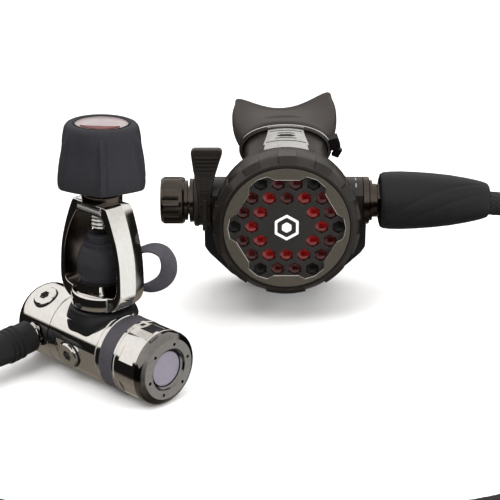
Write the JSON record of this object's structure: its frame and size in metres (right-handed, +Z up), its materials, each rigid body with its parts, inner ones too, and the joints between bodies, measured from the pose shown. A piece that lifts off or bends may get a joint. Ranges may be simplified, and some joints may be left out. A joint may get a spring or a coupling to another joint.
{
  "type": "scuba regulator set",
  "caption": "Scuba regulator set: yoke first stage with swivel turret, braided hose and demand second stage with perforated purge cover, thumb lever and mouthpiece",
  "frame": {"origin": "bottom centre of the set's box without the hose and its end fittings, on the surface it stands on", "axes": "+Z up; -Y is the side the purge cover faces; +X runs from the first stage towards the hose inlet of the second stage"},
  "size_m": [0.399, 0.3241, 0.1401],
  "materials": {
    "dark_chrome": "polished dark chrome on brass",
    "steel": "bright wire and machined steel",
    "brass": "machined brass",
    "black_rubber": "matt moulded rubber",
    "knob_rubber": "matt charcoal rubber",
    "mouth_rubber": "soft warm grey silicone rubber",
    "grey_diaphragm": "lavender grey silicone",
    "braid": "woven nylon braid over rubber",
    "case_plastic": "fine matt warm black plastic",
    "cover_plastic": "satin warm grey plastic",
    "trim_metal": "satin bronze grey metallic",
    "gunmetal": "anodised gunmetal",
    "red_plastic": "glossy deep red",
    "white_print": "white",
    "badge": "domed clear resin over silver grey print"
  },
  "bodies": {
    "hose_line": {"swivel_turret": "dark_chrome", "low_port_plugs": "dark_chrome", "low_plug_seals": "black_rubber", "hose_fitting_first": "dark_chrome", "hose_ferrules": "dark_chrome", "hose_sleeve_first": "black_rubber", "hose": "braid", "hose_guard_second": "black_rubber", "hose_nut": "dark_chrome"},
    "first_stage": {"first_stage_body": "dark_chrome", "turret_bolt": "dark_chrome", "body_seals": "black_rubber", "high_port_plugs": "dark_chrome", "cover_band": "knob_rubber", "spring_cap": "dark_chrome", "end_ring": "dark_chrome", "outer_diaphragm": "grey_diaphragm", "main_diaphragm": "black_rubber", "clamp_washer": "brass", "spring_adjuster": "brass", "main_spring": "steel", "yoke_frame": "dark_chrome", "yoke_retainer": "dark_chrome", "inlet_filter": "brass", "filter_clip": "steel", "yoke_boot": "black_rubber", "dust_cap": "black_rubber", "dust_cap_strap": "black_rubber", "poppet_return_spring": "steel"},
    "valve": {"valve_lifter": "brass", "valve_poppet": "brass", "spring_pad": "brass"},
    "screw_tip": {"yoke_screw_tip": "case_plastic"},
    "screw_knob": {"yoke_screw": "steel", "knob_hub": "brass", "yoke_knob": "knob_rubber", "knob_badge": "badge"},
    "second_stage": {"case_shell": "case_plastic", "front_bezel": "case_plastic", "trim_ring": "trim_metal", "diaphragm_clamp": "case_plastic", "diaphragm": "grey_diaphragm", "purge_spring": "steel", "valve_tube": "brass", "inlet_orifice": "steel", "inlet_fitting": "gunmetal", "nameplate": "dark_chrome", "mouthpiece": "mouth_rubber", "mouthpiece_tie": "case_plastic", "exhaust_valve": "black_rubber", "exhaust_tee": "black_rubber", "demand_spring": "steel"},
    "purge_button": {"purge_cover": "cover_plastic", "purge_emblem": "white_print", "red_plate": "red_plastic", "diaphragm_disc": "steel"},
    "demand_lever": {"demand_lever": "steel"},
    "demand_poppet": {"demand_poppet": "case_plastic"},
    "adjust_knob": {"adjust_knob": "gunmetal"},
    "venturi_lever": {"venturi_lever": "case_plastic"}
  },
  "joints": [
    {"name": "first_stage_swivel", "type": "hinge", "parent": "hose_line", "child": "first_stage", "pos_m": [-0.0545, -0.0551, 0.0198], "axis": [0.7314, -0.682, 0], "range_deg": [-30, 80]},
    {"name": "valve_lift", "type": "slide", "parent": "first_stage", "child": "valve", "axis": [-0.7314, 0.682, 0], "range_m": [0, 0.0008], "stiffness_N_per_m": 2000, "deforming": ["main_diaphragm", "main_spring", "poppet_return_spring"]},
    {"name": "yoke_screw_travel", "type": "slide", "parent": "first_stage", "child": "screw_tip", "axis": [0.0297, 0.0319, 0.999], "range_m": [0, 0.009]},
    {"name": "yoke_screw_turn", "type": "hinge", "parent": "screw_tip", "child": "screw_knob", "pos_m": [-0.05191, -0.05233, 0.10672], "axis": [0.0297, 0.0319, 0.999], "range_deg": [0, 1625]},
    {"name": "second_stage_swivel", "type": "hinge", "parent": "hose_line", "child": "second_stage", "pos_m": [0.044, 0.0309, 0.0678], "axis": [1, 0, 0], "continuous": true},
    {"name": "purge_press", "type": "slide", "parent": "second_stage", "child": "purge_button", "axis": [0, 1, 0], "range_m": [0, 0.003], "stiffness_N_per_m": 1500, "deforming": ["purge_spring", "diaphragm"]},
    {"name": "demand_lever_turn", "type": "hinge", "parent": "second_stage", "child": "demand_lever", "pos_m": [0.056, 0.0243, 0.0678], "axis": [0, 0, 1], "range_deg": [-8.7, 0]},
    {"name": "demand_poppet_slide", "type": "slide", "parent": "second_stage", "child": "demand_poppet", "axis": [-1, 0, 0], "range_m": [0, 0.00101], "deforming": ["demand_spring"]},
    {"name": "adjust_knob_turn", "type": "hinge", "parent": "second_stage", "child": "adjust_knob", "pos_m": [-0.021, 0.0309, 0.0678], "axis": [1, 0, 0], "range_deg": [-360, 360]},
    {"name": "venturi_turn", "type": "hinge", "parent": "second_stage", "child": "venturi_lever", "pos_m": [-0.004, 0.0309, 0.0678], "axis": [1, 0, 0], "range_deg": [-60, 0]}
  ],
  "couplings": [
    {"joint": "yoke_screw_turn", "follows": "yoke_screw_travel", "rad_per_m": 3141.6},
    {"joint": "demand_lever_turn", "follows": "purge_press", "rad_per_m": -50},
    {"joint": "demand_poppet_slide", "follows": "purge_press", "ratio": 0.3333}
  ]
}
